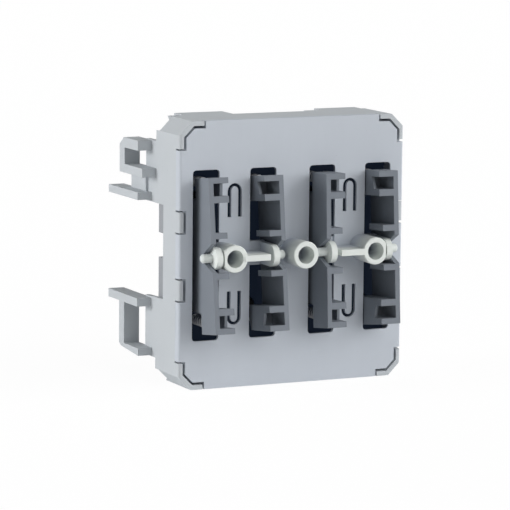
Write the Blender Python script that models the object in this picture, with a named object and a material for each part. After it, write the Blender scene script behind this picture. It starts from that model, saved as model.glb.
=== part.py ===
"""Two-module touch switch mechanism: moulded body, pivoted levers, springs, push switches and rear cover.

Metres, +Z up, front towards -Y. The origin is the centre of the rear cover's flat back face.
Depths are measured back from the front plate's front face, and the datum empty sets them in place.
"""
import math

import bmesh
import bpy

# Front plate from its middle outwards: slots, the space between a module's two slots, and the borders
CENTRE_BORDER = 0.00333
SLOT_WIDTH = 0.00522
SLOT_SPACE = 0.0061
SIDE_BORDER = 0.00263
SLOT_HALF = 0.0155
END_BORDER = 0.00883
SLOT_ROUND = 0.0006
INNER_SLOT = (CENTRE_BORDER, CENTRE_BORDER + SLOT_WIDTH)
OUTER_SLOT = (INNER_SLOT[1] + SLOT_SPACE, INNER_SLOT[1] + SLOT_SPACE + SLOT_WIDTH)
SPACE_X = (INNER_SLOT[1] + OUTER_SLOT[0]) / 2

# Body outline and depth
HALF_WIDTH = OUTER_SLOT[1] + SIDE_BORDER
HALF_HEIGHT = SLOT_HALF + END_BORDER
BODY_CHAMFER = 0.0029
REAR_DEPTH = 0.0165
GAP = 0.0003

# Thickness of the plate at its rim and inside it
PLATE_THICK = 0.0016
PLATE_THIN = 0.0006
RIM = 0.00195

# Flexible tongues, light tubes and ribs
TONGUE_ROOT_Z = 0.00675
TONGUE_FROM_END = 0.0040
TONGUE_ARC = 0.00104
TONGUE_CUT = 0.00055
TUBE_RADIUS = 0.0025
TUBE_BORE = 0.0016
TUBE_HEIGHT = 0.00587
TUBE_FROM_SLOT = 0.00056
TUBE_PITCH = OUTER_SLOT[0] - TUBE_FROM_SLOT
RIB_OVER_SLOT = 0.00143
RIB_THICK = 0.0011
RIB_HEIGHT = 0.0060

# Shell walls: back edges, strips at the corners and tabs at the sides that come flush with the plate
WALL = 0.00085
NOTCH_END_GAP = 0.0003
STRIP_X = 0.0051
STRIP_Z = 0.00523
TAB_LOW = 0.0040
TAB_LENGTH = 0.0043
SIDE_RECESS_Z = 0.0086
SIDE_RECESS_BACK = 0.0071
SIDE_BACK = 0.0150
SIDE_END = 0.00443
SIDE_END_BACK = 0.0104
CORNER_BACK = 0.0090
TOP_BACK = 0.0110
TOP_MID_BACK = 0.0100
TOP_MID_FROM_SIDE = 0.0151
LONG_TAB_FROM_SIDE = 0.0055
LONG_TAB_BACK = 0.0150
SHORT_TAB_FROM_SIDE = 0.0032
SHORT_TAB_LENGTH = 0.0084
SHORT_TAB_BACK = 0.0138
STRIP_END_X = HALF_WIDTH - STRIP_X
STRIP_END_Z = HALF_HEIGHT - STRIP_Z
SIDE_END_Z = HALF_HEIGHT - SIDE_END
TOP_MID_X = HALF_WIDTH - TOP_MID_FROM_SIDE
LONG_TAB_X = HALF_WIDTH - LONG_TAB_FROM_SIDE
SHORT_TAB_X = (HALF_WIDTH - SHORT_TAB_FROM_SIDE - SHORT_TAB_LENGTH, HALF_WIDTH - SHORT_TAB_FROM_SIDE)

# Side clips: the hooks start above the side recess, the bars are set from the body's ends
CLIP_REACH = 0.00274
CLIP_ROOT = 0.0003
CLIP_WEB = 0.0005
HOOK_TIP = 0.0260
CLIP_FRONT = 0.0125
CLIP_REAR = 0.0209
CLIP_REAR_BAR = 0.0023
CLIP_WINDOW_BACK = CLIP_REAR - CLIP_REAR_BAR
UPPER_MID_FRONT = 0.0105
LOWER_HOOK_RISE = 0.00053
LOWER_HOOK_THICK = 0.00153
UPPER_HOOK_RISE = 0.00035
UPPER_HOOK_THICK = 0.0014
LOWER_BAR_FROM_END = 0.00465
LOWER_BAR_THICK = 0.00138
UPPER_TOP_FROM_END = 0.00453
UPPER_TOP_THICK = 0.00185
UPPER_MID_FROM_END = 0.00943
UPPER_MID_THICK = 0.0016

# Bearing lugs and pegs
LUG_THICK = 0.00115
LUG_HALF = 0.0020
LUG_HEIGHT = 0.0059
LUG_CLEAR = 0.00025
BRIDGE_HALF = 0.0022
PEG_RADIUS = 0.000825
PEG_REACH = 0.00205
PEG_CHAMFER = 0.0003
PIVOT_HEIGHT = 0.0032
PIVOT_CLEAR = 0.00025

# Levers: they fit their slots, and every bar is set from a lever's end or from the lug
LEVER_SIDE_ROOM = 0.00137
OUTER_LEVER_GAP = 0.00112
INNER_LEVER_GAP = 0.00073
LEVER_END_GAP = 0.0015
LEVER_WIDTH = SLOT_WIDTH - LEVER_SIDE_ROOM
OUTER_LEVER_X = OUTER_SLOT[1] - OUTER_LEVER_GAP
INNER_LEVER_X = INNER_SLOT[0] + INNER_LEVER_GAP
LEVER_HALF = SLOT_HALF - LEVER_END_GAP
LEVER_RISE = 0.00035
LEVER_FRONT = 0.0029
SPINE = 0.0009
SPINE_END_BACK = 0.0030
NOTCH_ANGLE = 26.0
END_BAR = 0.00105
END_BAR_DEPTH = 0.0040
SECOND_BAR = 0.0012
SECOND_FROM_END = 0.00335
MID_BAR = 0.0011
MID_BAR_CLEAR = 0.00105
MID_BAR_DEPTH = 0.0056
MID_BAR_SHORT = 0.00065
FOOT_DEPTH = 0.0064
FOOT_TAPER = 0.0005
LEG = 0.00055
LEG_SLANT = 0.0014
SEAT_THICK = 0.0006
TILT = (7.5, 6.8, 2.8, 4.0)
FULL_TILT = 8.0
SECOND_BAR_Z = (LEVER_HALF - SECOND_FROM_END - SECOND_BAR, LEVER_HALF - SECOND_FROM_END)
MID_BAR_Z = (LUG_HALF + MID_BAR_CLEAR, LUG_HALF + MID_BAR_CLEAR + MID_BAR)

# Springs
SPRING_RADIUS = 0.00125
SPRING_WIRE = 0.00018
SPRING_FROM_EDGE = 0.0018
SPRING_FROM_END = 0.0014
SPRING_TURNS = 5.5
SPRING_Z = LEVER_HALF - SPRING_FROM_END

# Switch plungers end just behind the levers' feet at full tilt, and the frame lies behind their tips
PLUNGER_RADIUS = 0.0009
PLUNGER_SHOW = 0.00034
FOOT_REACH = (FOOT_DEPTH * math.cos(math.radians(FULL_TILT)) - PIVOT_HEIGHT
              + (SECOND_BAR_Z[1] + LEVER_RISE) * math.sin(math.radians(FULL_TILT)))
PLUNGER_TOP = FOOT_REACH + GAP
FRAME_FRONT = PLUNGER_TOP + PLUNGER_SHOW
FRAME_THICK = 0.0010
POST_RADIUS = 0.0016
BOSS_RADIUS = 0.0005
BOSS_HEIGHT = 0.0009
POST_Z = (SLOT_HALF + HALF_HEIGHT - RIM) / 2

# Circuit board and what stands on it
SWITCH_HEIGHT = 0.0025
SWITCH_SIZE = 0.0038
SWITCH_Z = sum(SECOND_BAR_Z) / 2
BOARD_FRONT = FRAME_FRONT + FRAME_THICK + SWITCH_HEIGHT
BOARD_THICK = 0.0012
BOARD_ROUND = 0.0008
LAMP_RADIUS = 0.0012
LAMP_TOP = 0.0030
CHIP_SIZE = 0.0058
CHIP_THICK = 0.0010

# Rear cover and the bus terminal in its back
COVER_CLEAR = 0.00145
COVER_END_CLEAR = 0.00448
COVER_STEP = 0.0032
COVER_WALL = 0.0010
COVER_FLOOR = 0.0015
LATCH_CLEAR = 0.00035
LATCH_THICK = 0.0007
LATCH_OVER = 0.0002
LATCH_Z = ((0.0030, 0.0085), (-0.0083, -0.0015))
TERMINAL_HALF_X = 0.0055
TERMINAL_HALF_Z = 0.0026
TERMINAL_Z = -0.0090
TERMINAL_SUNK = 0.0005
PIN_PITCH = 0.0050
PIN_RADIUS = 0.0006
PIN_SUNK = 0.0006
SOCKET_RADIUS = 0.0011
COVER_HALF_X = HALF_WIDTH - WALL - COVER_CLEAR
COVER_HALF_Z = HALF_HEIGHT - WALL - COVER_END_CLEAR
COVER_LEDGE = BOARD_FRONT + BOARD_THICK + GAP
COVER_STEP_DEPTH = COVER_LEDGE + COVER_WALL + GAP
LATCH_OUT = HALF_WIDTH - WALL - LATCH_CLEAR
LATCH_BACK = COVER_STEP_DEPTH + LATCH_OVER
TERMINAL_BACK = REAR_DEPTH - TERMINAL_SUNK

# How far joined solids reach into each other before they are united
JOIN = 0.0003

FINISHES = {
    "body_plastic": ((0.53, 0.55, 0.60), 0.50, 0.0),
    "lever_plastic": ((0.10, 0.105, 0.11), 0.55, 0.0),
    "spring_steel": ((0.60, 0.60, 0.60), 0.30, 1.0),
    "board_laminate": ((0.02, 0.16, 0.07), 0.50, 0.0),
    "switch_plastic": ((0.03, 0.03, 0.03), 0.45, 0.0),
    "lamp_lens": ((0.75, 0.75, 0.72), 0.20, 0.0),
    "contact_brass": ((0.75, 0.55, 0.25), 0.30, 1.0),
}


def clear_scene():
    for item in list(bpy.data.objects):
        bpy.data.objects.remove(item)


def finish_material(name):
    made = bpy.data.materials.get(name)
    if made:
        return made
    colour, roughness, metallic = FINISHES[name]
    made = bpy.data.materials.new(name)
    made.use_nodes = True
    shader = made.node_tree.nodes["Principled BSDF"]
    shader.inputs["Base Color"].default_value = (*colour, 1.0)
    shader.inputs["Roughness"].default_value = roughness
    shader.inputs["Metallic"].default_value = metallic
    return made


def to_object(name, bm):
    """Turn a bmesh into an object with its faces pointing out."""
    bmesh.ops.recalc_face_normals(bm, faces=bm.faces[:])
    if bm.calc_volume(signed=True) < 0:
        bmesh.ops.reverse_faces(bm, faces=bm.faces[:])
    mesh = bpy.data.meshes.new(name)
    bm.to_mesh(mesh)
    bm.free()
    made = bpy.data.objects.new(name, mesh)
    bpy.context.collection.objects.link(made)
    return made


def across(point, along, axis):
    a, b = point
    return {"X": (along, a, b), "Y": (a, along, b), "Z": (a, b, along)}[axis]


def prism(name, outline, low, high, axis, holes=()):
    """A straight prism: the outline and its holes lie across the axis, the ends at low and high."""
    low, high = min(low, high), max(low, high)
    bm = bmesh.new()
    for loop in (outline, *holes):
        ring = [bm.verts.new(across(p, low, axis)) for p in loop]
        for a, b in zip(ring, ring[1:] + ring[:1]):
            bm.edges.new((a, b))
    bmesh.ops.triangle_fill(bm, use_beauty=True, edges=bm.edges[:])
    raised = bmesh.ops.extrude_face_region(bm, geom=bm.faces[:])["geom"]
    moved = [v for v in raised if isinstance(v, bmesh.types.BMVert)]
    bmesh.ops.translate(bm, verts=moved, vec=across((0, 0), high - low, axis))
    return to_object(name, bm)


def lathe(name, profile, axis, steps, centre=(0, 0, 0)):
    """A solid of revolution about a line through centre; the profile lists (radius, place along the axis)."""
    bm = bmesh.new()
    points = [bm.verts.new(across((r, 0), t, axis)) for r, t in profile]
    edges = [bm.edges.new(pair) for pair in zip(points, points[1:])]
    bmesh.ops.spin(bm, geom=points + edges, cent=(0, 0, 0), axis=across((0, 0), 1, axis),
                   angle=math.tau, steps=steps)
    bmesh.ops.remove_doubles(bm, verts=bm.verts[:], dist=1e-6)
    poles = [v for v in bm.verts if len(v.link_edges) == steps]
    bmesh.ops.dissolve_verts(bm, verts=poles)
    bmesh.ops.translate(bm, verts=bm.verts[:], vec=centre)
    return to_object(name, bm)


def combine(base, tools, operation="UNION"):
    """Apply a Boolean with each tool to the base, and remove the tools."""
    for tool in tools:
        cut = base.modifiers.new(tool.name, "BOOLEAN")
        cut.operation = operation
        cut.object = tool
    ready = base.evaluated_get(bpy.context.evaluated_depsgraph_get())
    mesh = bpy.data.meshes.new_from_object(ready)
    base.modifiers.clear()
    base.data = mesh
    for tool in tools:
        bpy.data.objects.remove(tool)
    return base


def finished(item, parent, material, place=(0, 0, 0), tilt=0.0):
    item.parent = parent
    item.location = place
    item.rotation_euler = (tilt, 0, 0)
    item.data.materials.clear()
    item.data.materials.append(finish_material(material))
    item.data.shade_smooth()
    item.data.set_sharp_from_angle(angle=math.radians(35))
    return item


def arc(centre, radius, start, end, steps):
    """Points on an arc, angles in degrees, both ends included."""
    turns = [math.radians(start + (end - start) * i / steps) for i in range(steps + 1)]
    return [(centre[0] + radius * math.cos(t), centre[1] + radius * math.sin(t)) for t in turns]


def rectangle(a_low, a_high, b_low, b_high, rounding=0.0, steps=3):
    corners = ((a_high, b_high, 0), (a_low, b_high, 90), (a_low, b_low, 180), (a_high, b_low, 270))
    if not rounding:
        return [(a, b) for a, b, _ in corners]
    points = []
    for a, b, turn in corners:
        towards = (math.copysign(rounding, a_low + a_high - 2 * a), math.copysign(rounding, b_low + b_high - 2 * b))
        points += arc((a + towards[0], b + towards[1]), rounding, turn, turn + 90, steps)
    return points


def four_quarters(quarter):
    """Mirror a quarter outline, listed from the right side to the top, into a full loop."""
    back = quarter[::-1]
    return (quarter + [(-x, z) for x, z in back]
            + [(-x, -z) for x, z in quarter] + [(x, -z) for x, z in back])


def body_corner(inset):
    """Half width, half height and the two chamfer ends of the body's outline, moved in by inset."""
    half_x, half_z = HALF_WIDTH - inset, HALF_HEIGHT - inset
    chamfer = BODY_CHAMFER - inset * (2 - math.sqrt(2))
    return half_x, half_z, half_x - chamfer, half_z - chamfer


def chamfered_outline(inset):
    half_x, half_z, top_x, side_z = body_corner(inset)
    return four_quarters([(half_x, side_z), (top_x, half_z)])


def hairpin():
    """Outline of the U-shaped cut round a tongue, its legs starting at the tongue's root."""
    centre = (0, SLOT_HALF - TONGUE_FROM_END)
    outer = arc(centre, TONGUE_ARC + TONGUE_CUT / 2, 0, 180, 8)
    inner = arc(centre, TONGUE_ARC - TONGUE_CUT / 2, 180, 0, 8)
    return ([(outer[0][0], TONGUE_ROOT_Z)] + outer + [(outer[-1][0], TONGUE_ROOT_Z)]
            + [(inner[0][0], TONGUE_ROOT_Z)] + inner + [(inner[-1][0], TONGUE_ROOT_Z)])


def plate_sheet():
    """The plate with its slots and tongues, thick along its rim and thin inside it."""
    half_x, half_z, _, _ = body_corner(0)
    notch_x, notch_z, notch_top_x, notch_side_z = body_corner(WALL + GAP)
    tab_high = TAB_LOW + TAB_LENGTH
    outline = four_quarters([
        (half_x, TAB_LOW), (notch_x, TAB_LOW), (notch_x, tab_high), (half_x, tab_high),
        (half_x, STRIP_END_Z), (notch_x, STRIP_END_Z), (notch_x, notch_side_z),
        (notch_top_x, notch_z), (STRIP_END_X, notch_z), (STRIP_END_X, half_z)])
    holes = []
    for side in (-1, 1):
        for near, far in (INNER_SLOT, OUTER_SLOT):
            low, high = sorted((side * near, side * far))
            holes.append(rectangle(low, high, -SLOT_HALF, SLOT_HALF, SLOT_ROUND))
        for up in (-1, 1):
            holes.append([(side * SPACE_X + x, up * z) for x, z in hairpin()])
    sheet = prism("front_plate", outline, 0, PLATE_THICK, "Y", holes)
    pocket = prism("pocket", chamfered_outline(RIM), PLATE_THIN, PLATE_THICK + JOIN, "Y")
    return combine(sheet, [pocket], "DIFFERENCE")


def light_tube(side):
    """A tapering tube without its bore; the outer tubes have a flat beside the bearing lug."""
    root = PLATE_THIN / 2
    shape = [(0, root), (TUBE_RADIUS * 0.97, root), (TUBE_RADIUS, GAP / 2 - TUBE_HEIGHT),
             (TUBE_RADIUS - GAP / 2, -TUBE_HEIGHT), (0, -TUBE_HEIGHT)]
    tube = lathe("tube", shape, "Y", 32, (side * TUBE_PITCH, 0, 0))
    if side:
        flat = side * (OUTER_LEVER_X - SPINE - LUG_CLEAR - LUG_THICK - GAP)
        beyond = rectangle(*sorted((flat, flat + side * TUBE_RADIUS)), -2 * TUBE_RADIUS, 2 * TUBE_RADIUS)
        combine(tube, [prism("flat", beyond, -2 * TUBE_HEIGHT, PLATE_THICK, "Y")], "DIFFERENCE")
    return tube


def bearing(side, face, into, edge):
    """A lug with its peg, and the bridge that carries them in from the slot's edge."""
    lug = [(PLATE_THICK, -LUG_HALF)] + [
        (y, z) for z, y in arc((0, LUG_HALF - LUG_HEIGHT), LUG_HALF, 180, 360, 12)] + [(PLATE_THICK, LUG_HALF)]
    bridge = [(side * x, z) for x, z in rectangle(*sorted((edge + into * JOIN, face + into * GAP / 2)),
                                                 -BRIDGE_HALF, BRIDGE_HALF)]
    tip = face - into * PEG_REACH
    peg = [(0, face + into * JOIN), (PEG_RADIUS, face + into * JOIN), (PEG_RADIUS, tip + into * PEG_CHAMFER),
           (PEG_RADIUS - PEG_CHAMFER, tip), (0, tip)]
    return [prism("lug", lug, side * face, side * (face + into * LUG_THICK), "X"),
            prism("bridge", bridge, PLATE_THIN / 2, PLATE_THICK - GAP / 2, "Y"),
            lathe("peg", [(r, side * x) for r, x in peg], "X", 16, (0, -PIVOT_HEIGHT, 0))]


def build_plate(datum):
    plate = plate_sheet()
    added = [light_tube(side) for side in (-1, 0, 1)]
    for side in (-1, 1):
        rib = rectangle(INNER_SLOT[1] - RIB_OVER_SLOT, TUBE_PITCH - TUBE_BORE - JOIN, -RIB_THICK / 2, RIB_THICK / 2)
        added.append(prism("rib", [(side * x, z) for x, z in rib], -RIB_HEIGHT, PLATE_THIN / 2, "Y"))
        # an outer lever's lug stands inside its spine, an inner lever's lug outside its spine
        added += bearing(side, OUTER_LEVER_X - SPINE - LUG_CLEAR, -1, OUTER_SLOT[0])
        added += bearing(side, INNER_LEVER_X + SPINE + LUG_CLEAR, 1, INNER_SLOT[1])
    combine(plate, added)
    bore = [(0, -2 * TUBE_HEIGHT), (TUBE_BORE, -2 * TUBE_HEIGHT), (TUBE_BORE, 2 * PLATE_THICK), (0, 2 * PLATE_THICK)]
    combine(plate, [lathe("bore", bore, "Y", 32, (x, 0, 0)) for x in (-TUBE_PITCH, 0, TUBE_PITCH)], "DIFFERENCE")
    return finished(plate, datum, "body_plastic")


def side_range(z):
    """Front and back depth of a side wall at height z."""
    z = abs(z)
    tab = TAB_LOW + NOTCH_END_GAP < z < TAB_LOW + TAB_LENGTH - NOTCH_END_GAP
    flush = tab or z > STRIP_END_Z + NOTCH_END_GAP
    if z < SIDE_RECESS_Z:
        back = SIDE_RECESS_BACK
    else:
        back = SIDE_BACK if z < SIDE_END_Z else SIDE_END_BACK
    return (0.0 if flush else PLATE_THICK + GAP), back


def top_range(x):
    """Front and back depth of the top or bottom wall at x."""
    flush = abs(x) > STRIP_END_X + NOTCH_END_GAP
    if abs(x) < TOP_MID_X:
        back = TOP_MID_BACK
    elif -LONG_TAB_X < x < -TOP_MID_X:
        back = LONG_TAB_BACK
    else:
        back = SHORT_TAB_BACK if SHORT_TAB_X[0] < x < SHORT_TAB_X[1] else TOP_BACK
    return (0.0 if flush else PLATE_THICK + GAP), back


def wall_stations():
    """Places round the walls, each (outer point, inner point), and the depth range from each to the next."""
    out, inn = body_corner(0), body_corner(WALL)
    side_cuts = [TAB_LOW + NOTCH_END_GAP, TAB_LOW + TAB_LENGTH - NOTCH_END_GAP, SIDE_RECESS_Z,
                 STRIP_END_Z + NOTCH_END_GAP, SIDE_END_Z]
    side_cuts = [-z for z in side_cuts[::-1]] + side_cuts
    strip = STRIP_END_X + NOTCH_END_GAP
    top_cuts = sorted([strip, *SHORT_TAB_X, TOP_MID_X, -TOP_MID_X, -LONG_TAB_X, -strip])
    places, ranges = [], []
    for turn in (1, -1):
        ends = [-out[3]] + side_cuts + [out[3]]
        places.append(((turn * out[0], -turn * out[3]), (turn * inn[0], -turn * inn[3])))
        places += [((turn * out[0], turn * z), (turn * inn[0], turn * z)) for z in side_cuts]
        ranges += [side_range((a + b) / 2) for a, b in zip(ends, ends[1:])]
        places.append(((turn * out[0], turn * out[3]), (turn * inn[0], turn * inn[3])))
        ranges.append((0.0, CORNER_BACK))
        cuts = top_cuts[::-turn]
        ends = [turn * out[2]] + cuts + [-turn * out[2]]
        places.append(((turn * out[2], turn * out[1]), (turn * inn[2], turn * inn[1])))
        places += [((x, turn * out[1]), (x, turn * inn[1])) for x in cuts]
        ranges += [top_range((a + b) / 2) for a, b in zip(ends, ends[1:])]
        places.append(((-turn * out[2], turn * out[1]), (-turn * inn[2], turn * inn[1])))
        ranges.append((0.0, CORNER_BACK))
    return places, ranges


def build_walls():
    """The four walls as one closed ring whose front and back edges step with the depth ranges."""
    places, ranges = wall_stations()
    levels = sorted({depth for pair in ranges for depth in pair})
    count = len(places)
    bm = bmesh.new()
    points = {}

    def point(i, j, inside):
        key = (i % count, j, inside)
        if key not in points:
            x, z = places[key[0]][inside]
            points[key] = bm.verts.new((x, levels[j], z))
        return points[key]

    def filled(i, j):
        front, back = ranges[i % count]
        return 0 <= j < len(levels) - 1 and front <= levels[j] and levels[j + 1] <= back

    def face(*keys):
        bm.faces.new([point(*key) for key in keys])

    for i in range(count):
        for j in range(len(levels) - 1):
            if not filled(i, j):
                continue
            for inside in (0, 1):
                face((i, j, inside), (i + 1, j, inside), (i + 1, j + 1, inside), (i, j + 1, inside))
            for step, level in ((-1, j), (1, j + 1)):
                if not filled(i, j + step):
                    face((i, level, 0), (i + 1, level, 0), (i + 1, level, 1), (i, level, 1))
            for step, place in ((-1, i), (1, i + 1)):
                if not filled(i + step, j):
                    face((place, j, 0), (place, j + 1, 0), (place, j + 1, 1), (place, j, 1))
    bmesh.ops.recalc_face_normals(bm, faces=bm.faces[:])
    bmesh.ops.dissolve_limit(bm, angle_limit=0.01, verts=bm.verts[:], edges=bm.edges[:])
    return to_object("outer_shell", bm)


def build_shell(datum):
    shell = build_walls()
    hook_low = SIDE_RECESS_Z + LOWER_HOOK_RISE
    hook_high = hook_low + LOWER_HOOK_THICK
    bar_high = HALF_HEIGHT - LOWER_BAR_FROM_END
    bar_low = bar_high - LOWER_BAR_THICK
    lower = [(CLIP_FRONT, hook_low), (HOOK_TIP, hook_low), (HOOK_TIP, hook_high), (CLIP_REAR, hook_high),
             (CLIP_REAR, bar_low + LOWER_BAR_THICK / 7), (CLIP_REAR - 2 * CLIP_WEB, bar_low + LOWER_BAR_THICK / 2),
             (CLIP_FRONT - CLIP_WEB, bar_high), (CLIP_FRONT - CLIP_WEB, bar_low), (CLIP_WINDOW_BACK, bar_low),
             (CLIP_WINDOW_BACK, hook_high), (CLIP_FRONT, hook_high)]
    top_high = HALF_HEIGHT - UPPER_TOP_FROM_END
    top_low = top_high - UPPER_TOP_THICK
    mid_high = HALF_HEIGHT - UPPER_MID_FROM_END
    mid_low = mid_high - UPPER_MID_THICK
    upper = [(UPPER_MID_FRONT, mid_low), (CLIP_REAR, mid_low), (CLIP_REAR, top_high - UPPER_TOP_THICK * 0.75),
             (CLIP_REAR - UPPER_TOP_THICK, top_high), (CLIP_FRONT, top_high), (CLIP_FRONT, top_low),
             (CLIP_WINDOW_BACK, top_low), (CLIP_WINDOW_BACK, mid_high), (UPPER_MID_FRONT, mid_high)]
    upper_hook = SIDE_RECESS_Z + UPPER_HOOK_RISE
    hook = rectangle(CLIP_FRONT, HOOK_TIP, upper_hook, upper_hook + UPPER_HOOK_THICK)
    web = rectangle(SIDE_BACK - 2 * CLIP_WEB, CLIP_REAR - GAP, upper_hook + UPPER_HOOK_THICK - GAP, mid_low + GAP)
    clips = []
    for side in (-1, 1):
        near, far = side * (HALF_WIDTH - CLIP_ROOT), side * (HALF_WIDTH + CLIP_REACH)
        clips.append(prism("lower_clip", [(y, -z) for y, z in lower], near, far, "X"))
        clips.append(prism("upper_clip", upper, near, far, "X"))
        clips.append(prism("hook", hook, near, far, "X"))
        clips.append(prism("clip_web", web, side * (HALF_WIDTH - WALL / 2), side * (HALF_WIDTH + CLIP_WEB), "X"))
    combine(shell, clips)
    return finished(shell, datum, "body_plastic")


def lever_mesh():
    """A lever with its pivot at the origin and its spine's outer face at x = 0, open towards +X."""
    seat = PEG_RADIUS + PIVOT_CLEAR
    slope = math.tan(math.radians(NOTCH_ANGLE))
    reach = seat * math.cos(math.radians(NOTCH_ANGLE)) + (
        seat * math.sin(math.radians(NOTCH_ANGLE)) + LEVER_FRONT) * slope
    low, high = LEVER_RISE - LEVER_HALF, LEVER_RISE + LEVER_HALF
    foot_half = SECOND_BAR_Z[1] - FOOT_TAPER
    foot_low, foot_high = LEVER_RISE - foot_half, LEVER_RISE + foot_half
    notch = [(-LEVER_FRONT, reach)] + arc((0, 0), seat, 90 - NOTCH_ANGLE, NOTCH_ANGLE - 90, 10) + [
        (-LEVER_FRONT, -reach)]
    spine = notch + [
        (-LEVER_FRONT, low), (SPINE_END_BACK, low), (SPINE_END_BACK, foot_low), (FOOT_DEPTH, foot_low),
        (FOOT_DEPTH, foot_high), (SPINE_END_BACK, foot_high), (SPINE_END_BACK, high), (-LEVER_FRONT, high)]
    lever = prism("lever", spine, 0, SPINE, "X")
    end_bar = rectangle(-LEVER_FRONT, END_BAR_DEPTH - LEVER_FRONT, LEVER_HALF - END_BAR, LEVER_HALF)
    foot = [(-LEVER_FRONT, SECOND_BAR_Z[1]), (-LEVER_FRONT, SECOND_BAR_Z[0]), (FOOT_DEPTH, SECOND_BAR_Z[0]),
            (FOOT_DEPTH, foot_half), (SPINE_END_BACK, SECOND_BAR_Z[1])]
    leg_low = SECOND_BAR_Z[1] - FOOT_TAPER
    leg = [(-LEG_SLANT * 0.65, leg_low), (LEG_SLANT * 0.35, LEVER_HALF),
           (FOOT_DEPTH - 2 * SEAT_THICK, LEVER_HALF), (FOOT_DEPTH, leg_low)]
    spring_seat = rectangle(SPINE_END_BACK - SEAT_THICK, SPINE_END_BACK, leg_low, LEVER_HALF)
    mid_bar = rectangle(-LEVER_FRONT, MID_BAR_DEPTH - LEVER_FRONT, *MID_BAR_Z)
    added = []
    for up in (1, -1):
        for outline, near, far in ((end_bar, SPINE / 2, LEVER_WIDTH), (foot, SPINE / 2, LEVER_WIDTH),
                                   (mid_bar, SPINE / 2, LEVER_WIDTH - MID_BAR_SHORT),
                                   (leg, LEVER_WIDTH - LEG, LEVER_WIDTH),
                                   (spring_seat, SPINE / 2, LEVER_WIDTH - LEG / 2)):
            placed = [(y, LEVER_RISE + up * z) for y, z in outline]
            added.append(prism("bar", placed, near, far, "X"))
    combine(lever, added)
    return lever


def mirrored_copy(source, name):
    bm = bmesh.new()
    bm.from_mesh(source.data)
    for v in bm.verts:
        v.co.x = -v.co.x
    return to_object(name, bm)


def coil(name, length):
    """A compression spring along +Y from the origin, its wire swept as a closed tube."""
    per_turn, sides = 10, 5
    rise = length - 2 * SPRING_WIRE
    steps = round(SPRING_TURNS * per_turn)
    bm = bmesh.new()
    rings = []
    for i in range(steps + 1):
        turn = math.tau * i / per_turn
        ring = []
        for k in range(sides):
            spin = math.tau * k / sides
            radius = SPRING_RADIUS - SPRING_WIRE + SPRING_WIRE * math.cos(spin)
            y = SPRING_WIRE + rise * i / steps + SPRING_WIRE * math.sin(spin)
            ring.append(bm.verts.new((radius * math.cos(turn), y, radius * math.sin(turn))))
        rings.append(ring)
    for a, b in zip(rings, rings[1:]):
        for k in range(sides):
            n = (k + 1) % sides
            bm.faces.new((a[k], a[n], b[n], b[k]))
    bm.faces.new(rings[0])
    bm.faces.new(rings[-1][::-1])
    return to_object(name, bm)


def lever_places():
    """Each lever's edge x, the side its bars point to and its tilt in radians, left to right."""
    edges = (-OUTER_LEVER_X, -INNER_LEVER_X, INNER_LEVER_X, OUTER_LEVER_X)
    return [(x, to, math.radians(a)) for x, to, a in zip(edges, (1, -1, 1, -1), TILT)]


def build_levers(datum):
    left = lever_mesh()
    right = mirrored_copy(left, "lever_right")
    for number, (x, to, tilt) in enumerate(lever_places(), 1):
        source = left if to > 0 else right
        lever = bpy.data.objects.new(f"lever_{number}", source.data.copy())
        bpy.context.collection.objects.link(lever)
        finished(lever, datum, "lever_plastic", (x, -PIVOT_HEIGHT, 0), -tilt)
        for name, up in (("upper", 1), ("lower", -1)):
            # the seat's deepest edge at this tilt sets where the coil starts
            centre = LEVER_RISE + up * SPRING_Z
            edges = (centre - SPRING_RADIUS, centre + SPRING_RADIUS)
            seat = max(SPINE_END_BACK * math.cos(tilt) + z * math.sin(tilt) for z in edges) - PIVOT_HEIGHT
            spring = coil(f"spring_{number}_{name}", FRAME_FRONT - seat - 2 * GAP)
            finished(spring, datum, "spring_steel", (x + to * SPRING_FROM_EDGE, seat + GAP, centre))
    for item in (left, right):
        bpy.data.objects.remove(item)


def round_outline(x, z, radius, steps=16):
    return arc((x, z), radius, 0, 360 - 360 / steps, steps - 1)


def build_frame(datum):
    holes = [round_outline(x, 0, LAMP_RADIUS + 2 * GAP) for x in (-TUBE_PITCH, 0, TUBE_PITCH)]
    for x, to, _ in lever_places():
        centre = x + to * LEVER_WIDTH / 2
        holes += [round_outline(centre, up * SWITCH_Z, PLUNGER_RADIUS + GAP) for up in (-1, 1)]
    back = FRAME_FRONT + FRAME_THICK
    frame = prism("inner_frame", chamfered_outline(WALL + GAP), FRAME_FRONT, back, "Y", holes)
    added = []
    middle = FRAME_FRONT + FRAME_THICK / 2
    for x, to, _ in lever_places():
        for up in (-1, 1):
            pin = round_outline(x + to * SPRING_FROM_EDGE, LEVER_RISE + up * SPRING_Z, BOSS_RADIUS, 8)
            added.append(prism("boss", pin, FRAME_FRONT - BOSS_HEIGHT, middle, "Y"))
    for side in (-1, 1):
        for up in (-1, 1):
            post = round_outline(side * SPACE_X, up * POST_Z, POST_RADIUS, 16)
            added.append(prism("post", post, PLATE_THIN + GAP, middle, "Y"))
    combine(frame, added)
    return finished(frame, datum, "body_plastic")


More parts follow.
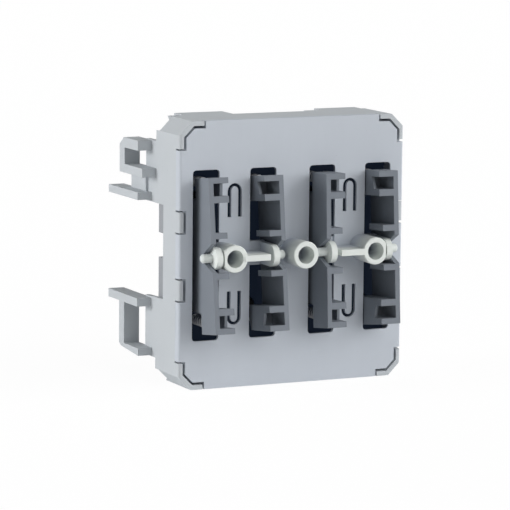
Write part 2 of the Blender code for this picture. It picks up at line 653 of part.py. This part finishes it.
def build_board(datum):
    half_x = COVER_HALF_X - COVER_WALL - GAP
    half_z = COVER_HALF_Z - COVER_WALL - GAP
    outline = rectangle(-half_x, half_x, -half_z, half_z, BOARD_ROUND)
    board = prism("circuit_board", outline, BOARD_FRONT, BOARD_FRONT + BOARD_THICK, "Y")
    finished(board, datum, "board_laminate")
    low, high = FRAME_FRONT + FRAME_THICK + GAP, BOARD_FRONT - GAP
    half = SWITCH_SIZE / 2
    body = prism("switch", rectangle(-half, half, -half, half, SWITCH_SIZE / 10, 1), 0, high - low, "Y")
    tip = PLUNGER_TOP - low
    plunger = [(0, JOIN), (PLUNGER_RADIUS, JOIN), (PLUNGER_RADIUS, tip + PLUNGER_RADIUS / 4),
               (PLUNGER_RADIUS * 0.75, tip), (0, tip)]
    combine(body, [lathe("plunger", plunger, "Y", 16)])
    for number, (x, to, _) in enumerate(lever_places(), 1):
        for name, up in (("upper", 1), ("lower", -1)):
            switch = bpy.data.objects.new(f"switch_{number}_{name}", body.data.copy())
            bpy.context.collection.objects.link(switch)
            finished(switch, datum, "switch_plastic", (x + to * LEVER_WIDTH / 2, low, up * SWITCH_Z))
    bpy.data.objects.remove(body)
    dome = arc((0, 0), LAMP_RADIUS, 0, 90, 5)
    flange = LAMP_RADIUS * 1.25
    shape = [(0, high), (flange, high), (flange, high - LAMP_RADIUS / 2), (LAMP_RADIUS, high - LAMP_RADIUS / 2)]
    shape += [(r, LAMP_TOP + LAMP_RADIUS - t) for r, t in dome[:-1]] + [(0, LAMP_TOP)]
    for name, x in (("left", -TUBE_PITCH), ("middle", 0), ("right", TUBE_PITCH)):
        finished(lathe(f"led_{name}", shape, "Y", 16), datum, "lamp_lens", (x, 0, 0))
    half = CHIP_SIZE / 2
    chip = prism("controller_chip", rectangle(-half, half, -half, half, CHIP_SIZE / 12, 1), -CHIP_THICK, 0, "Y")
    finished(chip, datum, "switch_plastic", (0, high, TERMINAL_Z))


def build_cover(datum):
    """A pan open to the front, stepping in behind the board, with four latch tongues and a terminal opening."""
    front = FRAME_FRONT + FRAME_THICK + GAP
    rounding = COVER_WALL * 1.5
    outer = rectangle(-COVER_HALF_X, COVER_HALF_X, -COVER_HALF_Z, COVER_HALF_Z, rounding)
    back_x, back_z = COVER_HALF_X - COVER_STEP, COVER_HALF_Z - COVER_STEP / 2
    cover = prism("rear_cover", outer, front, COVER_STEP_DEPTH, "Y")
    back = rectangle(-back_x, back_x, -back_z, back_z, rounding)
    added = [prism("back", back, COVER_STEP_DEPTH - JOIN, REAR_DEPTH, "Y")]
    latch_in = LATCH_OUT - LATCH_THICK
    root = COVER_HALF_X - COVER_WALL / 2
    latch = [(root, LATCH_BACK - COVER_WALL), (latch_in, LATCH_BACK - COVER_WALL), (latch_in, front),
             (LATCH_OUT, front), (LATCH_OUT, LATCH_BACK), (root, LATCH_BACK - LATCH_THICK / 2)]
    for side in (-1, 1):
        for low, high in LATCH_Z:
            added.append(prism("latch", [(side * x, y) for x, y in latch], low, high, "Z"))
    combine(cover, added)
    in_x, in_z = COVER_HALF_X - COVER_WALL, COVER_HALF_Z - COVER_WALL
    wide = rectangle(-in_x, in_x, -in_z, in_z, rounding - COVER_WALL)
    in_x, in_z = back_x - COVER_WALL, back_z - COVER_WALL
    narrow = rectangle(-in_x, in_x, -in_z, in_z, rounding - COVER_WALL)
    floor = REAR_DEPTH - COVER_FLOOR
    open_x, open_z = TERMINAL_HALF_X + GAP, TERMINAL_HALF_Z + GAP
    opening = rectangle(-open_x, open_x, TERMINAL_Z - open_z, TERMINAL_Z + open_z)
    combine(cover, [prism("wide", wide, front - JOIN, COVER_LEDGE, "Y"),
                    prism("narrow", narrow, COVER_LEDGE - JOIN, floor, "Y"),
                    prism("opening", opening, floor - JOIN, REAR_DEPTH + JOIN, "Y")], "DIFFERENCE")
    finished(cover, datum, "body_plastic")
    sockets = [round_outline(side * PIN_PITCH / 2, TERMINAL_Z, SOCKET_RADIUS) for side in (-1, 1)]
    block = rectangle(-TERMINAL_HALF_X, TERMINAL_HALF_X, TERMINAL_Z - TERMINAL_HALF_Z, TERMINAL_Z + TERMINAL_HALF_Z)
    terminal = prism("bus_terminal", block, COVER_LEDGE, TERMINAL_BACK, "Y", sockets)
    finished(terminal, datum, "switch_plastic")
    length = TERMINAL_BACK - PIN_SUNK - COVER_LEDGE
    pin = [(0, 0), (PIN_RADIUS, 0), (PIN_RADIUS, length - PIN_RADIUS / 2), (PIN_RADIUS / 2, length), (0, length)]
    for number, side in ((1, -1), (2, 1)):
        made = lathe(f"bus_pin_{number}", pin, "Y", 12)
        finished(made, datum, "contact_brass", (side * PIN_PITCH / 2, COVER_LEDGE, TERMINAL_Z))


def main():
    clear_scene()
    datum = bpy.data.objects.new("datum", None)
    bpy.context.collection.objects.link(datum)
    datum.location = (0, -REAR_DEPTH, 0)
    build_plate(datum)
    build_shell(datum)
    build_levers(datum)
    build_frame(datum)
    build_board(datum)
    build_cover(datum)


main()
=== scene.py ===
import math

import bmesh
import bpy
from mathutils import Matrix, Vector


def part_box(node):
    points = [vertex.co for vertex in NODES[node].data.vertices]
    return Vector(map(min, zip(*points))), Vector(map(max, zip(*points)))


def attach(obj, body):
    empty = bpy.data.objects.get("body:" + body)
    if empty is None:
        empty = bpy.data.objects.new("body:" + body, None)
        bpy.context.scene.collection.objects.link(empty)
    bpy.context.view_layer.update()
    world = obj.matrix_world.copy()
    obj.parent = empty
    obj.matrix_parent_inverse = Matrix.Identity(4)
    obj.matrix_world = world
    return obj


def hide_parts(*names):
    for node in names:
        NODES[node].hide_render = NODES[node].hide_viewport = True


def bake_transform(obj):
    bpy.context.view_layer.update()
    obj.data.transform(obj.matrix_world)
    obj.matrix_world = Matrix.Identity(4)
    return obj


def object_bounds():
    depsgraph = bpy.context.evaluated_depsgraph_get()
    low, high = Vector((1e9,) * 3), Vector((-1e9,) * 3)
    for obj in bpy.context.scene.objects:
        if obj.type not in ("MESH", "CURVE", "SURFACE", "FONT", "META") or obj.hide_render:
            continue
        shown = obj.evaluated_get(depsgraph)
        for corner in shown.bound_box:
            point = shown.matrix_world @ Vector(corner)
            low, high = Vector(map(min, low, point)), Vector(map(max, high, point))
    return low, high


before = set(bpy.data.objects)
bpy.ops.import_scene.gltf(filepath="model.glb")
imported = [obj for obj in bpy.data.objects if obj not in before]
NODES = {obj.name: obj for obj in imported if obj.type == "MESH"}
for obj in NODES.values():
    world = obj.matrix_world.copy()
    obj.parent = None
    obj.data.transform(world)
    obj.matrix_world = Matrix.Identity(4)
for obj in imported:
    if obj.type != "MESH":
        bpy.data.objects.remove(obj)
cad_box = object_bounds()

MM = 0.001

# planes and lines of the CAD solids that the shapes and the paint refer to
PLATE_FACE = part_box("outer_shell")[0][1]
PLATE_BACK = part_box("front_plate")[1][1]
HALF_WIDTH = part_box("front_plate")[1][0]
HALF_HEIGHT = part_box("front_plate")[1][2]
WALL_FRONT = PLATE_BACK + 0.3 * MM


# Materials


class Signal:
    """A shader value that adds the maths nodes for the expression it is written in."""

    def __init__(self, paint, socket):
        self.paint, self.socket = paint, socket

    def maths(self, operation, *values):
        return self.paint.node("ShaderNodeMath", {"operation": operation}, dict(enumerate(values)))

    def __add__(self, other):
        return self.maths("ADD", self, other)

    def __sub__(self, other):
        return self.maths("SUBTRACT", self, other)

    def __rsub__(self, other):
        return self.maths("SUBTRACT", other, self)

    def __mul__(self, other):
        return self.maths("MULTIPLY", self, other)

    def between(self, low, high):
        """0 below low and 1 above high, with a smooth step between them."""
        return self.paint.node("ShaderNodeMapRange", {"interpolation_type": "SMOOTHSTEP"},
                               {"Value": self, "From Min": low, "From Max": high})

    __radd__ = __add__
    __rmul__ = __mul__


class Paint:
    """The node tree of a material or of the world."""

    def __init__(self, owner):
        self.owner = owner
        owner.use_nodes = True
        self.tree = owner.node_tree

    def set(self, socket, value):
        if isinstance(value, Signal):
            self.tree.links.new(value.socket, socket)
        else:
            socket.default_value = value

    def node(self, kind, settings, inputs, output=0):
        made = self.tree.nodes.new(kind)
        for name, value in settings.items():
            setattr(made, name, value)
        for name, value in inputs.items():
            self.set(made.inputs[name], value)
        return Signal(self, made.outputs[output])

    def at(self):
        return self.node("ShaderNodeTexCoord", {}, {}, "Object")

    def noise(self, scale, detail=2.0, rough=0.5, stretch=(1, 1, 1)):
        place = self.node("ShaderNodeMapping", {}, {"Vector": self.at(), "Scale": stretch})
        return self.node("ShaderNodeTexNoise", {},
                         {"Vector": place, "Scale": scale, "Detail": detail, "Roughness": rough}, "Fac")

    def mix(self, factor, first, second):
        return self.node("ShaderNodeMix", {"data_type": "RGBA"}, {0: factor, 6: first, 7: second}, 2)

    def bump(self, height, strength, distance):
        return self.node("ShaderNodeBump", {}, {"Height": height, "Strength": strength, "Distance": distance},
                         "Normal")

    def seen(self):
        """1 for what the camera sees straight, in a mirror or through something clear, else 0."""
        camera_ray, glossy_ray, clear_ray = (self.node("ShaderNodeLightPath", {}, {}, f"Is {kind} Ray")
                                             for kind in ("Camera", "Glossy", "Transmission"))
        return camera_ray.maths("MAXIMUM", camera_ray, glossy_ray.maths("MAXIMUM", glossy_ray, clear_ray))

    def finish(self, constants, **varying):
        shader = self.tree.nodes["Principled BSDF"]
        for name, value in {**constants, **varying}.items():
            self.set(shader.inputs[name.replace("_", " ")], value)
        return self.owner


def new_paint(name):
    return Paint(bpy.data.materials.new(name))


def linear(red, green, blue):
    """A colour given in 0-255 display values, as the shader needs it."""
    return tuple(v / 12.92 if v <= 0.04045 else ((v + 0.055) / 1.055) ** 2.4
                 for v in (red / 255, green / 255, blue / 255)) + (1.0,)


def shaded(colour, factor):
    return tuple(min(1.0, c * factor) for c in colour[:3]) + (1.0,)


NO_PAINTED_GLOW = (0, 0, 0, 1)
# distances in front of the plate's face over which the painted light on standing parts comes in
LIT_TIP_START, LIT_TIP_END = 0.2 * MM, 5.0 * MM


def moulded(name, colour, rough=0.74, vary=0.04, painted_lit_tip=None, painted_glow=NO_PAINTED_GLOW):
    """Moulded plastic: matt spark-eroded grain, flow patches, faint rub marks and a little dust.

    With painted_lit_tip, the colour turns to that lighter colour with the distance in front of the plate's
    face: painted light on the parts that stand clear of the plate's shade.
    """
    paint = new_paint(name)
    drift = paint.noise(85, 3.0, 0.55)
    flow = paint.noise(420, 3.0, 0.6, (1.0, 1.0, 0.12))
    grains = paint.noise(6200, 3.0, 0.65)
    rubbed = paint.noise(1500, 4.0, 0.7, (0.08, 1.0, 1.0)).between(0.62, 0.74)
    specks = paint.noise(2600, 1.0, 0.4).between(0.74, 0.80)
    shade = paint.mix(drift * 0.6 + flow * 0.4, shaded(colour, 1 - vary), shaded(colour, 1 + vary))
    # painted light: parts standing in front of the plate are painted lighter, as if clear of its shade
    if painted_lit_tip:
        in_front = PLATE_FACE - paint.node("ShaderNodeSeparateXYZ", {}, {0: paint.at()}, "Y")
        shade = paint.mix(in_front.between(LIT_TIP_START, LIT_TIP_END), shade, painted_lit_tip)
    shade = paint.mix(rubbed * 0.10, shade, shaded(colour, 1.25))
    shade = paint.mix(specks * 0.35, shade, shaded(colour, 0.72))
    # the emission colour is painted light: a faint glow on a part that is no lamp
    return paint.finish({"Specular IOR Level": 0.15, "Emission Color": painted_glow, "Emission Strength": 1.0},
                        Base_Color=shade,
                        Roughness=rough - 0.05 + flow * 0.08 + grains * 0.05 - rubbed * 0.08,
                        Normal=paint.bump(grains * 0.8 + flow * 0.2, 0.2, 0.03 * MM))


def metal(name, colour, rough, drawn=(1, 1, 1)):
    """Drawn metal: fine lines along the wire or pin and slightly darker, duller patches."""
    paint = new_paint(name)
    lines = paint.noise(2400, 2.0, 0.5, drawn)
    tarnish = paint.noise(600, 3.0, 0.6)
    return paint.finish({"Metallic": 1.0},
                        Base_Color=paint.mix(tarnish.between(0.4, 0.75) * 0.6, colour, shaded(colour, 0.7)),
                        Roughness=rough + tarnish * 0.12 + lines * 0.06,
                        Normal=paint.bump(lines, 0.15, 0.01 * MM))


def laminate(name, colour, copper):
    """Board laminate: woven glass under a green lacquer, with slightly lighter copper areas."""
    paint = new_paint(name)
    threads = [paint.noise(3000, 1.0, 0.3, stretch) for stretch in ((1, 1, 0.2), (0.2, 1, 1))]
    weave = threads[0] * 0.5 + threads[1] * 0.5
    areas = paint.noise(260, 0.0).between(0.50, 0.53)
    lacquer = paint.mix(weave, shaded(colour, 0.85), colour)
    return paint.finish({"Specular IOR Level": 0.5},
                        Base_Color=paint.mix(areas * 0.6, lacquer, copper),
                        Roughness=0.32 + weave * 0.12,
                        Normal=paint.bump(weave + areas * 0.5, 0.2, 0.02 * MM))


def lens(name, dark, light):
    """Milky lamp body: cloudy, with a clear glossy skin."""
    paint = new_paint(name)
    cloud = paint.noise(900, 2.0)
    return paint.finish({"Specular IOR Level": 0.5, "Coat Roughness": 0.08},
                        Base_Color=paint.mix(cloud, dark, light),
                        Roughness=0.16 + cloud * 0.08,
                        Coat_Weight=0.3 + cloud * 0.1)


# the lighter colour of the tubes, ribs and pegs standing out of the plate is painted light, not another
# plastic
PLATE_GREY = moulded("plate_grey", linear(199, 205, 213), painted_lit_tip=linear(232, 237, 233))
BODY_GREY = moulded("body_grey", linear(197, 202, 206))
# painted shade: the cover is a darker grey so that its latch strips seen behind the walls look shaded
COVER_SHADE_GREY = moulded("cover_shaded_grey", linear(160, 163, 168))
LEVER_GREY = moulded("lever_grey", linear(127, 133, 141), rough=0.6, vary=0.05)
# the faint painted glow stands in for light that bounces about deep inside the slots
FRAME_GREY = moulded("frame_grey", linear(29, 35, 46), rough=0.6, painted_glow=linear(13, 19, 29))
BLACK = moulded("black_plastic", linear(38, 40, 43), rough=0.4)
BOARD = laminate("board_green", linear(28, 84, 50), linear(46, 110, 66))
STEEL = metal("spring_wire", linear(188, 190, 194), 0.24)
BRASS = metal("contact_brass", linear(214, 180, 110), 0.22, drawn=(1, 0.1, 1))
LENS = lens("lamp_lens", linear(205, 208, 200), linear(225, 226, 218))


# Shapes

MERGE = 1e-6
ON_PLANE = 0.01 * MM
ON_LINE = 0.02 * MM
FLAT_ANGLE, EDGE_ANGLE = 0.6, 28
SIDE_ROUND, CORNER_ROUND = 0.45 * MM, 0.8 * MM

# the body's corner chamfers: the wall's outside and inside and the plate's notch, at both ends of each
CORNER_SIDES = ((22.5 * MM, 21.43 * MM), (21.65 * MM, 21.08 * MM), (21.35 * MM, 20.95 * MM))
CORNER_ENDS = ((19.6 * MM, 24.33 * MM), (19.25 * MM, 23.48 * MM), (19.12 * MM, 23.18 * MM))
CORNER_SHIFT = 0.45 * MM

# the notches that the corner strips and side tabs come through
NOTCH_X, NOTCH_Z, SEAM_EXTRA = 21.35 * MM, 23.18 * MM, 0.18 * MM
TAB_ENDS, TAB_EXTRA = ((4.3 * MM, -1), (8.0 * MM, 1), (19.4 * MM, -1)), 0.22 * MM

# the plate's flexible tongues, cut free by U-shaped slits
TONGUE_X, TONGUE_ROOT_Z, TONGUE_ARC_Z = 11.6 * MM, 6.6 * MM, 11.5 * MM
TONGUE_ARC, TONGUE_CUT, CUT_EXTRA = 1.04 * MM, 0.55 * MM, 0.08 * MM

# the recess in the side walls and the cover's latch strips that show in it
RECESS_Z, RECESS_BACK, RECESS_DROP = -8.6 * MM, PLATE_FACE + 12.0 * MM, 0.28 * MM
STRIP_X, STRIP_Z, STRIP_DROP = 20.1 * MM, -8.3 * MM, 0.6 * MM

# the levers' thin legs and lower ends
LEG_LOW, LEG_HIGH, LEG_REACH, LEG_THICK = 10.0 * MM, 13.3 * MM, 1.1 * MM, 0.6 * MM
LEVER_FOOT_Z, FOOT_SLOPE = -13.35 * MM, 0.085


def dress(piece, material):
    piece.data.materials.clear()
    piece.data.materials.append(material)
    return piece


def add(name, bm, material, sharp, body=None):
    """Makes the piece of a mesh, smooth but for edges of more than sharp degrees."""
    mesh = bpy.data.meshes.new(name)
    bm.to_mesh(mesh)
    bm.free()
    mesh.shade_smooth()
    mesh.set_sharp_from_angle(angle=math.radians(sharp))
    piece = bpy.data.objects.new(name, mesh)
    bpy.context.collection.objects.link(piece)
    dress(piece, material)
    if body:
        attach(piece, body)
    return piece


def at_depth(v, depth):
    return abs(v.co.y - depth) < ON_PLANE


def on_line(value, line):
    return abs(value - line) < ON_LINE


def near(v, x, z):
    return on_line(abs(v.co.x), x) and on_line(abs(v.co.z), z)


def outward(value, distance):
    return value + math.copysign(distance, value)


def edges_of(bm, belongs):
    """The edges whose ends both belong."""
    return [e for e in bm.edges if all(belongs(v) for v in e.verts)]


def round_off(bm, edges, radius, segments):
    bmesh.ops.bevel(bm, geom=edges, offset=radius, offset_type="OFFSET", affect="EDGES", segments=segments,
                    profile=0.5, material=-1, clamp_overlap=True)


def round_front_sides(bm):
    round_off(bm, edges_of(bm, lambda v: abs(abs(v.co.x) - HALF_WIDTH) < ON_PLANE and at_depth(v, PLATE_FACE)),
              SIDE_ROUND, 5)


def round_corners(bm):
    side_z, end_x = CORNER_SIDES[0][1] + CORNER_SHIFT, CORNER_ENDS[0][0] + CORNER_SHIFT
    edges = edges_of(bm, lambda v: near(v, HALF_WIDTH, side_z) or near(v, end_x, HALF_HEIGHT))
    round_off(bm, [e for e in edges if abs(e.verts[0].co.x - e.verts[1].co.x) < ON_PLANE], CORNER_ROUND, 4)


def round_edges(bm, radius, segments):
    """Rounds all edges but those of the joint between the plate and the walls."""
    limit = math.radians(EDGE_ANGLE)
    sharp = [e for e in bm.edges if len(e.link_faces) == 2 and e.calc_face_angle(0) > limit]
    round_off(bm, [e for e in sharp if not all(at_depth(v, PLATE_BACK) for v in e.verts)], radius, segments)


def softened(node, name, material, radius, segments=3, body="mechanism", change=None):
    """A copy of a solid's mesh with its faces merged and its edges rounded, in the solid's place."""
    bm = bmesh.new()
    bm.from_mesh(NODES[node].data)
    bmesh.ops.remove_doubles(bm, verts=bm.verts[:], dist=MERGE)
    bmesh.ops.dissolve_limit(bm, angle_limit=math.radians(FLAT_ANGLE), verts=bm.verts[:], edges=bm.edges[:])
    if change:
        change(bm)
    round_front_sides(bm)
    round_corners(bm)
    round_edges(bm, radius, segments)
    piece = add(name, bm, material, 40, body)
    smooth = piece.modifiers.new("faces", "WEIGHTED_NORMAL")
    smooth.keep_sharp = True
    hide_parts(node)
    return piece


def fuller_corners(bm):
    """Makes the body's four corner chamfers a little smaller."""
    for v in bm.verts:
        if any(near(v, x, z) for x, z in CORNER_SIDES):
            v.co.z = outward(v.co.z, CORNER_SHIFT)
        elif any(near(v, x, z) for x, z in CORNER_ENDS):
            v.co.x = outward(v.co.x, CORNER_SHIFT)


def longer_strips(bm):
    """Brings the lower ends of the cover's latch strips down to the walls' recess."""
    for v in bm.verts:
        if abs(v.co.x) > STRIP_X and on_line(v.co.z, STRIP_Z):
            v.co.z -= STRIP_DROP


def wider_seams(bm):
    """Opens the plate's U-shaped cuts and its seams round the corner strips and side tabs by a hair."""
    fuller_corners(bm)
    for v in bm.verts:
        across, along = abs(v.co.x) - TONGUE_X, max(0.0, abs(v.co.z) - TONGUE_ARC_Z)
        reach = math.hypot(across, along)
        if abs(v.co.z) > TONGUE_ROOT_Z and abs(reach - TONGUE_ARC) < TONGUE_CUT:
            wide = 1 + math.copysign(CUT_EXTRA, reach - TONGUE_ARC) / reach
            v.co.x = math.copysign(TONGUE_X + across * wide, v.co.x)
            v.co.z = outward(v.co.z, along * (wide - 1))
        for axis, line in ((0, NOTCH_X), (2, NOTCH_Z)):
            if on_line(abs(v.co[axis]), line):
                v.co[axis] *= 1 - SEAM_EXTRA / line


def closed_joint(bm):
    """Brings the walls up to the plate's back, and the right-hand tabs and strips nearer to their notches."""
    fuller_corners(bm)
    for v in bm.verts:
        if on_line(v.co.z, RECESS_Z) and v.co.y > RECESS_BACK:
            v.co.z -= RECESS_DROP
        if at_depth(v, WALL_FRONT):
            v.co.y = PLATE_BACK
        elif v.co.y < PLATE_BACK and v.co.x > NOTCH_X:
            for line, way in TAB_ENDS:
                if on_line(abs(v.co.z), line):
                    v.co.z = outward(v.co.z, way * TAB_EXTRA)


def level_foot(bm):
    """Cuts a lever's lower end level instead of square to its front."""
    front = min(v.co.y for v in bm.verts)
    for v in bm.verts:
        if v.co.z < LEVER_FOOT_Z:
            v.co.z -= FOOT_SLOPE * (v.co.y - front)


def upright_legs(upper, lower):
    """Stands the front edges of a lever's two thin legs upright, at the depths given for its ends."""
    def change(bm):
        far = max(v.co.x for v in bm.verts)
        for sign, depth in ((1, upper), (-1, lower)):
            marks = [v.co.copy() for v in bm.verts if far - v.co.x < ON_PLANE
                     and LEG_LOW < sign * v.co.z < LEG_HIGH and abs(v.co.y - depth) < LEG_REACH]
            for v in bm.verts:
                if far - v.co.x < LEG_THICK and any(math.hypot(v.co.y - m.y, v.co.z - m.z) < ON_PLANE
                                                    for m in marks):
                    v.co.y = depth
    return change


def both(*changes):
    def change(bm):
        for each in changes:
            each(bm)
    return change


def spring(number, end, turns, wire=0.14 * MM, per_turn=20):
    """A fine coil with closed end turns in a spring's place, its wire spun up along the spring's axis."""
    node = f"spring_{number}_{end}"
    low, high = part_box(node)
    centre_x, centre_z = (low[0] + high[0]) / 2, (low[2] + high[2]) / 2
    radius = (high[0] - low[0]) / 2 - 2.5 * wire
    open_rise = high[1] - low[1] - 6 * wire
    bm = bmesh.new()
    at = Matrix.Translation((centre_x + radius, low[1] + wire, centre_z))
    bmesh.ops.create_circle(bm, cap_ends=False, segments=7, radius=wire, matrix=at)
    section = bm.verts[:] + bm.edges[:]
    for rise, count in ((2 * wire, 1), (open_rise, turns - 2), (2 * wire, 1)):
        steps = count * per_turn
        section = bmesh.ops.spin(bm, geom=section, cent=(centre_x, 0, centre_z), axis=(0, 1, 0),
                                 dvec=(0, rise / steps, 0), angle=count * math.tau, steps=steps,
                                 use_merge=False)["geom_last"]
    bmesh.ops.holes_fill(bm, edges=[e for e in bm.edges if e.is_boundary], sides=8)
    bmesh.ops.recalc_face_normals(bm, faces=bm.faces[:])
    coil = add(f"coil_{number}_{end}", bm, STEEL, 60)
    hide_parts(node)
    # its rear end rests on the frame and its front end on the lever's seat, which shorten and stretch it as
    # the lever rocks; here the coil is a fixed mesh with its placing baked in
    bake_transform(coil)


LEVER_CHANGES = {
    1: upright_legs(-18.35 * MM, -20.9 * MM),
    3: both(upright_legs(-19.48 * MM, -20.33 * MM), level_foot),
    4: level_foot,
}

softened("front_plate", "face_plate", PLATE_GREY, 0.1 * MM, change=wider_seams)
softened("outer_shell", "shell_walls", BODY_GREY, 0.12 * MM, change=closed_joint)
softened("rear_cover", "back_pan", COVER_SHADE_GREY, 0.25 * MM, change=longer_strips)
for number in range(1, 5):
    softened(f"lever_{number}", f"rocker_{number}", LEVER_GREY, 0.13 * MM, body=f"lever_{number}",
             change=LEVER_CHANGES.get(number))
    spring(number, "upper", turns=6)
    spring(number, "lower", turns=8)

FINISHES = {"led": LENS, "bus_pin": BRASS, "circuit_board": BOARD, "inner_frame": FRAME_GREY}
for name, piece in NODES.items():
    if not piece.hide_render:
        dress(piece, next((made for start, made in FINISHES.items() if name.startswith(start)), BLACK))


# Camera, floor and light

CAMERA_PLACE = (-0.259633, -0.548690, 0.084486)
CAMERA_RIGHT = Vector((0.904243, -0.426908, 0.009714))
CAMERA_DOWN = Vector((-0.052196, -0.133077, -0.989730))
CAMERA_AHEAD = Vector((0.423817, 0.894449, -0.142617))

# each lamp's name, azimuth, height and spread in degrees, and strength
LAMPS = (
    ("right_side", 61, 14, 50, 2.35),
    ("left_side", -102, 12, 30, 2.15),
    ("front", 15, 30, 44, 0.7),
    ("behind", 178, 5, 30, 0.8),
)

FLOOR_HALF, FLOOR_DROP = 3.0, 0.1 * MM
FLOOR_DARK, FLOOR_LIGHT = (0.87, 0.87, 0.87, 1), (0.90, 0.90, 0.90, 1)
# the share of the floor's white that is its own glow to the camera; the rest keeps the shadow
FLOOR_WHITE, FLOOR_GLOW = 0.92, 1.03
WHITE = (1, 1, 1, 1)
# the surroundings' light on the object, and their white behind it
FILL_LIGHT = 0.15


def camera():
    made = bpy.data.cameras.new("camera")
    made.sensor_width = 36.0
    made.lens = 232.26
    made.clip_start = 0.05
    made.clip_end = 20.0
    item = bpy.data.objects.new("camera", made)
    bpy.context.collection.objects.link(item)
    turn = Matrix((CAMERA_RIGHT, -CAMERA_DOWN, -CAMERA_AHEAD)).transposed().to_4x4()
    item.matrix_world = Matrix.Translation(CAMERA_PLACE) @ turn
    bpy.context.scene.camera = item


def lamp(name, azimuth, height, spread, power):
    """A broad, far softbox; azimuth 0 is straight in front and 90 to the right, in degrees."""
    made = bpy.data.lights.new(name, "SUN")
    made.angle = math.radians(spread)
    made.energy = power
    item = bpy.data.objects.new(name, made)
    bpy.context.collection.objects.link(item)
    around, up = math.radians(azimuth), math.radians(height)
    towards = Vector((math.sin(around) * math.cos(up), -math.cos(around) * math.cos(up), math.sin(up)))
    item.rotation_euler = towards.to_track_quat("Z", "Y").to_euler()


def floor():
    """White paper: it lights the underside, looks white and keeps a faint shadow."""
    bm = bmesh.new()
    bmesh.ops.create_grid(bm, x_segments=1, y_segments=1, size=FLOOR_HALF)
    bmesh.ops.translate(bm, verts=bm.verts[:], vec=(0, 0, cad_box[0][2] - FLOOR_DROP))
    mesh = bpy.data.meshes.new("floor")
    bm.to_mesh(mesh)
    bm.free()
    item = bpy.data.objects.new("floor", mesh)
    bpy.context.collection.objects.link(item)
    paint = new_paint("floor")
    paint.finish({"Roughness": 1.0}, Base_Color=paint.mix(paint.noise(40, 3.0), FLOOR_DARK, FLOOR_LIGHT))
    lit = Signal(paint, paint.tree.nodes["Principled BSDF"].outputs[0])
    glow = paint.node("ShaderNodeEmission", {}, {"Color": WHITE, "Strength": FLOOR_GLOW})
    white = paint.node("ShaderNodeMixShader", {}, {0: paint.seen() * FLOOR_WHITE, 1: lit, 2: glow})
    paint.set(paint.tree.nodes["Material Output"].inputs["Surface"], white)
    item.data.materials.append(paint.owner)


def surroundings():
    """White where they are seen, and a faint even light on everything."""
    world = bpy.data.worlds.new("studio")
    bpy.context.scene.world = world
    paint = Paint(world)
    backdrop = paint.tree.nodes["Background"]
    seen = paint.seen()
    paint.set(backdrop.inputs["Color"], WHITE)
    paint.set(backdrop.inputs["Strength"], seen.maths("MAXIMUM", seen, FILL_LIGHT))
    bpy.context.scene.view_settings.view_transform = "Standard"


camera()
floor()
surroundings()
for settings in LAMPS:
    lamp(*settings)
